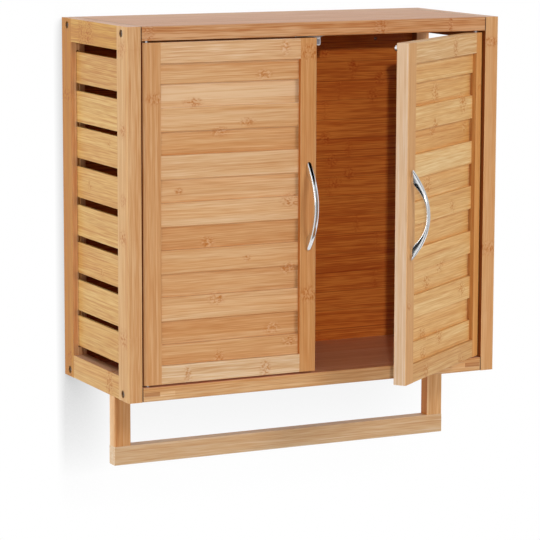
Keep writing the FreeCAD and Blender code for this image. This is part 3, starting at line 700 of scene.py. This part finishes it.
def dress_door(side):
    turned = side == "right"

    def member(part, axes, base, **looks):
        node = side + "_door_" + part
        seed = SEEDS[side + "_door"] + DOOR_SEED_STEPS[part]
        dress(node, bamboo(node, axes, seed, base, turned=turned, coat=0, **looks))

    # Each stile gets its painted light and shade on the faces that look left
    for part, (base, tint, knots, own_looks) in DOOR_STILES[side].items():
        member(part, "zxy", base, tints=[tint], knots=knots_at(knots), **{**DOOR_STILE, **own_looks})
    for part, (base, knots) in DOOR_RAILS[side].items():
        member(part, "xzy", base, tints=[painted_warm_shade(base)], knots=knots_at(knots), **DOOR_RAIL)

    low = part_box("left_door_bottom_rail")[1].z - BOARD_TONGUE
    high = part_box("left_door_top_rail")[0].z + BOARD_TONGUE
    left = -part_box("left_door_free_stile")[0].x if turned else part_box("left_door_hinge_stile")[1].x
    base, contrast, crest_share = DOOR_BOARDS[side]
    knots = [
        (left + x * MM, high - down * MM, BOARD_KNOT_STRETCH * long * MM, wide * MM, crest_share * crest)
        for x, down, long, wide, crest in BOARD_KNOTS[side]
    ]
    looks = dict(strip=15.9 * MM, joint=0.0, contrast=contrast, tints=[painted_warm_shade(base)], knots=knots)
    for part in ("raised_boards", "sunk_boards"):
        member(part, "xzy", base, rows=(BOARD_ROWS[side], low, high), **looks)


def dress_fittings():
    steel = metal("steel", (196, 198, 202), 0.34, 0.2)
    bush = plastic("bush_plastic", (228, 228, 222), 0.5)
    grain = dict(strip=10 * MM, ply=10 * MM, joint=0.0)
    dowel = bamboo("dowel_wood", "xyz", SEEDS["dowel_wood"], (208, 164, 116), **grain)
    looks = {
        "pivot_pins": steel,
        "catch_pole_plates": steel,
        "catch_screws": steel,
        # The screws in the bores are a darker steel, painted shade
        "assembly_screws": metal("sunk_steel_painted_shade", (178, 170, 162), 0.4, 0.2),
        "catch_magnets": metal("ferrite", (176, 178, 188), 0.6, 0.2),
        "catch_housing": plastic("white_plastic", (236, 240, 246), 0.25),
        "carcass_dowels": dowel,
    }
    door_looks = {"handle_screws": steel, "strike_stud": steel, "pivot_bushes": bush, "dowels": dowel}
    for side in SIDES:
        looks.update({side + "_door_" + part: material for part, material in door_looks.items()})
    for node, material in looks.items():
        dress(node, material)


# A bow handle as one smooth bar on two feet. It is swept along the door's height: each station is
# a rounded rectangle between the outer and the inner bow, and the tips draw in to an oval.
HANDLE_LENGTH, HANDLE_WIDE, HANDLE_RISE, HANDLE_WAIST = 121 * MM, 6.5 * MM, 27 * MM, 3.5 * MM
FOOT_INNER, FOOT_OUTER, FOOT_RISE, TIP_LIFT = 43.5 * MM, 52.5 * MM, 1 * MM, 2 * MM
TIP_ROUND, FRONT_ROUND, BACK_ROUND = 4.5 * MM, 1.8 * MM, 1.2 * MM
# The most that roundings take of a station's thickness in front and behind, and of half its width
FRONT_ROUND_SHARE, BACK_ROUND_SHARE, SIDE_ROUND_SHARE = 0.62, 0.34, 0.98
OUTER_BOW_POWER, INNER_BOW_POWER = 2, 2.3
# How far a foot's sides slope, and what keeps a tip from closing to a point
FOOT_SLOPE, TIP_LEAST = 0.1 * MM, 0.05 * MM
BOW_STEPS, TIP_STEPS, CORNER_STEPS = 64, 12, 6
SHARP_ANGLE = math.radians(50)


def bow(along, half, end_rise, crown, power):
    return end_rise + (crown - end_rise) * (1 - (along / half) ** power)


# Stations from one tip to the other: the place along, the low and the high side, half the width
def handle_stations():
    reach = HANDLE_LENGTH / 2
    inner_crown = HANDLE_RISE - HANDLE_WAIST
    half_line = []
    for step in range(BOW_STEPS + 1):
        along = FOOT_INNER * step / BOW_STEPS
        half_line.append((along, bow(along, FOOT_INNER, FOOT_RISE, inner_crown, INNER_BOW_POWER)))
    half_line += [(FOOT_INNER + FOOT_SLOPE, 0.0), (FOOT_OUTER - FOOT_SLOPE, 0.0), (FOOT_OUTER, TIP_LIFT)]
    for step in range(1, TIP_STEPS + 1):
        along = FOOT_OUTER + (reach - FOOT_OUTER) * math.sin(math.pi / 2 * step / TIP_STEPS)
        half_line.append((along, TIP_LIFT))
    stations = []
    for along, low in half_line:
        high = max(bow(along, reach, TIP_LIFT, HANDLE_RISE, OUTER_BOW_POWER), low + TIP_LEAST)
        into_tip = max(0.0, (along - reach + TIP_ROUND) / TIP_ROUND)
        half_wide = HANDLE_WIDE / 2 * math.sqrt(max(0.0, 1 - into_tip ** 2)) + TIP_LEAST
        stations.append((along, low, high, half_wide))
    return [(-along, *rest) for along, *rest in reversed(stations[1:])] + stations


# The rounded rectangle of one station, rounder in front, as points across the door and away from it
def handle_ring(low, high, half_wide):
    front_radius = min(FRONT_ROUND, FRONT_ROUND_SHARE * (high - low), SIDE_ROUND_SHARE * half_wide)
    back_radius = min(BACK_ROUND, BACK_ROUND_SHARE * (high - low), SIDE_ROUND_SHARE * half_wide)
    points = []
    for quarter, (side, level) in enumerate(((1, high), (-1, high), (-1, low), (1, low))):
        radius = front_radius if level == high else back_radius
        centre_across = side * (half_wide - radius)
        centre_up = level - radius if level == high else level + radius
        for step in range(CORNER_STEPS + 1):
            angle = math.pi / 2 * (quarter + step / CORNER_STEPS)
            points.append((centre_across + radius * math.cos(angle), centre_up + radius * math.sin(angle)))
    return points


# The right handle is the left one's mirror image, on the door that stands open
def handle_place(side):
    low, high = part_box("left_door_handle")
    middle_x = abs(low.x + high.x) / 2 * (1 if side == "right" else -1)
    place = Matrix.Translation((middle_x, high.y, (low.z + high.z) / 2))
    if side == "right":
        about = Matrix.Translation(OPEN_PIVOT)
        place = about @ Matrix.Rotation(OPEN_TURN, 4, "Z") @ about.inverted() @ place
    return place


def make_handle(side, chrome):
    mesh = bmesh.new()
    rings = []
    for along, bottom, top, half_wide in handle_stations():
        points = handle_ring(bottom, top, half_wide)
        rings.append([mesh.verts.new((across, -up, along)) for across, up in points])
    for ring, following in zip(rings, rings[1:]):
        for number, vertex in enumerate(ring):
            mesh.faces.new((ring[number - 1], vertex, following[number], following[number - 1]))
    mesh.faces.new(rings[0])
    mesh.faces.new(reversed(rings[-1]))
    bmesh.ops.recalc_face_normals(mesh, faces=mesh.faces)
    data = bpy.data.meshes.new(side + "_bow_handle")
    mesh.to_mesh(data)
    mesh.free()
    data.polygons.foreach_set("use_smooth", [True] * len(data.polygons))
    data.set_sharp_from_angle(angle=SHARP_ANGLE)
    data.transform(handle_place(side))
    data.materials.append(chrome)
    piece = bpy.data.objects.new(side + "_bow_handle", data)
    bpy.context.scene.collection.objects.link(piece)
    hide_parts(side + "_door_handle")
    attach(piece, side + "_door")


def make_handles():
    chrome = metal("chrome", (232, 234, 236), 0.11, 0.03)
    for side in SIDES:
        make_handle(side, chrome)


# Suns: the heading of their light to the right of +Y and its fall in degrees, their strength, and how
# wide they look in degrees
KEY_WAY = (26.8, 9.0)
SUNS = {
    "key": (KEY_WAY, 0.36, 1.1),
    "front_soft": ((-16, 30), 0.22, 14),
    "left_soft": ((105, 11), 0.57, 40),
    "right_soft": ((-28, 20), 0.16, 50),
}
WORLD_LIGHT, WORLD_SEEN = 0.3, 1.0


# Direction in which light travels, from its heading and its fall
def travel(heading, fall):
    turn, drop = math.radians(heading), math.radians(fall)
    return (math.sin(turn) * math.cos(drop), math.cos(turn) * math.cos(drop), -math.sin(drop))


def bare_material(name):
    material = bpy.data.materials.new(name)
    material.use_nodes = True
    g = Graph(material.node_tree)
    g.tree.nodes.clear()
    return material, g


# 1 for what the camera sees, by itself or in metal or glass
def seen_ray(g):
    path = g.put("LightPath").outputs
    return g.most(path["Is Camera Ray"], path["Is Glossy Ray"], path["Is Transmission Ray"])


def sheet_of(name, corners, material):
    data = bpy.data.meshes.new(name)
    data.from_pydata(corners, [], [(0, 1, 2, 3)])
    data.materials.append(material)
    piece = bpy.data.objects.new(name, data)
    bpy.context.scene.collection.objects.link(piece)
    return piece


# Corners of an upright sheet over a line on the floor, and of a level one between two corners
def upright(start, end, low, high):
    return [(*start, low), (*end, low), (*end, high), (*start, high)]


def level(corner, opposite, height):
    x, y = corner
    far_x, far_y = opposite
    return [(x, y, height), (far_x, y, height), (far_x, far_y, height), (x, far_y, height)]


# The floor is this far below the cabinet, and the wall just behind it
FLOOR_DROP, WALL_Y, STAGE_REACH = 240 * MM, 1 * MM, 4.0
FLOOR_Z = CAD_BOX[0].z - FLOOR_DROP
FLOOR_WHITE, FLOOR_GLOW = colour(226, 226, 226), 0.46
# The way that the wall's shade looks for the cabinet, and how far
SHADE_WAY, SHADE_REACH = (0.15, -0.3, 0.94), 0.15
# Studio cards, which stand where the chrome mirrors them: their corners and how bright they are
CARDS = {
    "left_card": (upright((-1.5, -0.88), (-1.5, -0.47), -0.64, -0.28), 0.0),
    "ceiling_card": (level((0.1, -2.3), (2.2, 0), 1.25), 0.0),
    "front_card": (upright((0.15, -2.3), (1.6, -1.7), -0.75, 1.25), 0.25),
    "camera_card": (upright((-1.18, -1.96), (-1.53, -1.61), -1.2, 0.2), 0.5),
    "floor_card": (level((0, -2.3), (1.3, -0.45), FLOOR_Z + 1 * MM), 0.25),
    "right_card": (upright((1.6, -0.9), (1.6, 0.7), -1.0, 0.5), 0.62),
    "near_white_card": (upright((0.035, -0.319), (0.035, -0.236), -0.3, -0.12), 1.0),
    "near_black_card": (upright((0.045, -0.365), (0.045, -0.265), -0.1, 0.01), 0.0),
    "near_grey_card": (upright((0.046, -0.385), (0.046, -0.335), -0.15, -0.1), 0.25),
}
# How far the outer flag stands from the cabinet, and how much light each flag lets through
FLAG_DISTANCE, OUTER_FLAG_CLEAR, INNER_FLAG_CLEAR = 0.55, 0.45, 0.0
# Where the inner flag is: behind the slats, and in from the front, the wall, the top and the bottom
FLAG_GAP, FLAG_FRONT_INSET, FLAG_BACK_INSET, FLAG_END_INSET = 1 * MM, 40 * MM, 20 * MM, 22 * MM


# A white floor that shows nearly white where it is lit and keeps soft shadows
def floor_white():
    material, g = bare_material("floor_white")
    diffuse = g.put("BsdfDiffuse", {"Color": FLOOR_WHITE}).outputs[0]
    glow = g.put("Emission", {"Strength": g.product(seen_ray(g), FLOOR_GLOW)}).outputs[0]
    g.put("OutputMaterial", {0: g.put("AddShader", {0: diffuse, 1: glow}).outputs[0]})
    return material


# A white wall that greys softly where the cabinet stands close above it, more so below its left end,
# and is clear from behind
def wall_white():
    material, g = bare_material("wall_white")
    inputs = {"Distance": SHADE_REACH, "Normal": g.vector(*SHADE_WAY)}
    openness = g.put("AmbientOcclusion", inputs, samples=8).outputs["AO"]
    place, _ = surface(g)
    x = g.parts(place)["X"]

    # The shade deepens towards the cabinet's left end and stops just past it
    to_left = g.slope(x, -13.0, -2.8, clamp=True)
    past_left = g.slope(x, 75.0, 22.0, clamp=True)
    depth = g.product(g.slope(to_left, 0.75, 0.2), past_left)
    closed = g.math("SUBTRACT", 0.97, openness, clamp=True)
    white = g.put("Emission", {"Strength": g.math("SUBTRACT", 1.0, g.product(closed, depth))}).outputs[0]
    behind = g.put("NewGeometry").outputs["Backfacing"]
    clear = g.put("BsdfTransparent").outputs[0]
    g.put("OutputMaterial", {0: g.put("MixShader", {0: behind, 1: white, 2: clear}).outputs[0]})
    return material


def hide_from_light(piece):
    piece.visible_diffuse = False
    piece.visible_transmission = False
    piece.visible_shadow = False


# A studio card that only polished metal reflects
def make_card(name, corners, shade):
    material, g = bare_material(name)
    g.put("OutputMaterial", {0: g.put("Emission", {"Strength": shade}).outputs[0]})
    piece = sheet_of(name, corners, material)
    hide_from_light(piece)
    piece.visible_camera = False


# A flag that only takes light away
def make_flag(name, corners, let_through):
    material, g = bare_material(name)
    black = g.put("BsdfDiffuse", {"Color": colour(0, 0, 0)}).outputs[0]
    clear = g.put("BsdfTransparent").outputs[0]
    g.put("OutputMaterial", {0: g.put("MixShader", {0: let_through, 1: black, 2: clear}).outputs[0]})
    flag = sheet_of(name, corners, material)
    flag.visible_camera = False
    flag.visible_diffuse = False
    flag.visible_glossy = False


# The outer flag keeps over half of the key light off the left side frame: it stands before the frame on
# the light's way, and is as long and as tall as the frame looks from the light. The inner flag stands
# right behind the frame's slots and keeps the lamps out of the inside.
def make_flags():
    way = Vector(travel(*KEY_WAY))
    low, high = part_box("left_front_stile")
    across = Vector((-way.y, way.x, 0)).normalized()
    along_frame = Vector((0, -low.y, 0))
    shift = across * along_frame.dot(across)
    drop = (along_frame - shift).length / Vector((way.x, way.y)).length * way.z
    front = low - way * FLAG_DISTANCE
    back = front + shift - Vector((0, 0, drop))
    rise = Vector((0, 0, high.z - low.z))
    outer = [tuple(point) for point in (front, back, back + rise, front + rise)]
    make_flag("outer_flag", outer, OUTER_FLAG_CLEAR)
    inner_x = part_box("left_slat_1")[1].x + FLAG_GAP
    start, end = (inner_x, low.y + FLAG_FRONT_INSET), (inner_x, -FLAG_BACK_INSET)
    inner = upright(start, end, low.z + FLAG_END_INSET, high.z - FLAG_END_INSET)
    make_flag("inner_flag", inner, INNER_FLAG_CLEAR)


def make_stage():
    reach = STAGE_REACH
    sheet_of("floor", level((-reach, -reach), (reach, reach), FLOOR_Z), floor_white())
    wall = sheet_of("wall", upright((-reach, WALL_Y), (reach, WALL_Y), FLOOR_Z, reach), wall_white())
    hide_from_light(wall)
    wall.visible_glossy = False
    for name, (corners, shade) in CARDS.items():
        make_card(name, corners, shade)
    make_flags()


def make_sun(name, way, strength, spread):
    light = bpy.data.lights.new(name, "SUN")
    light.energy = strength * math.pi
    light.angle = math.radians(spread)
    lamp = bpy.data.objects.new(name, light)
    lamp.rotation_mode = "QUATERNION"
    lamp.rotation_quaternion = Vector(travel(*way)).to_track_quat("-Z", "Y")
    bpy.context.scene.collection.objects.link(lamp)


def make_light():
    for name, (way, strength, spread) in SUNS.items():
        make_sun(name, way, strength, spread)
    world = bpy.data.worlds.new("studio")
    world.use_nodes = True
    bpy.context.scene.world = world
    g = Graph(world.node_tree)
    g.tree.nodes.clear()
    seen = seen_ray(g)
    soft, white = (
        g.put("Background", {"Color": (1, 1, 1, 1), "Strength": strength}).outputs[0]
        for strength in (WORLD_LIGHT, WORLD_SEEN)
    )
    g.put("OutputWorld", {0: g.put("MixShader", {0: seen, 1: soft, 2: white}).outputs[0]})


# The camera as the photo's straight edges give it: its place in metres, angles in degrees and lens in
# millimetres
CAMERA_PLACE = (-1.62269, -3.40311, 0.26688)
CAMERA_HEADING, CAMERA_FALL, CAMERA_ROLL = -26.0414, 8.9936, 0.1590
LENS, SENSOR_WIDTH = 176.106, 36


def make_camera():
    camera = bpy.data.objects.new("camera", bpy.data.cameras.new("camera"))
    camera.data.lens = LENS
    camera.data.sensor_width = SENSOR_WIDTH
    place = Matrix.Translation(CAMERA_PLACE)
    heading = Matrix.Rotation(math.radians(CAMERA_HEADING), 4, "Z")
    pitch = Matrix.Rotation(math.radians(90 - CAMERA_FALL), 4, "X")
    roll = Matrix.Rotation(math.radians(CAMERA_ROLL), 4, "Z")
    camera.matrix_world = place @ heading @ pitch @ roll
    bpy.context.scene.collection.objects.link(camera)
    bpy.context.scene.camera = camera


for cabinet_side in SIDES:
    dress_side(cabinet_side)
    dress_door(cabinet_side)
dress_panels()
dress_towel_rail()
dress_fittings()
make_handles()
make_stage()
make_light()
make_camera()
bpy.context.scene.view_settings.view_transform = "Standard"
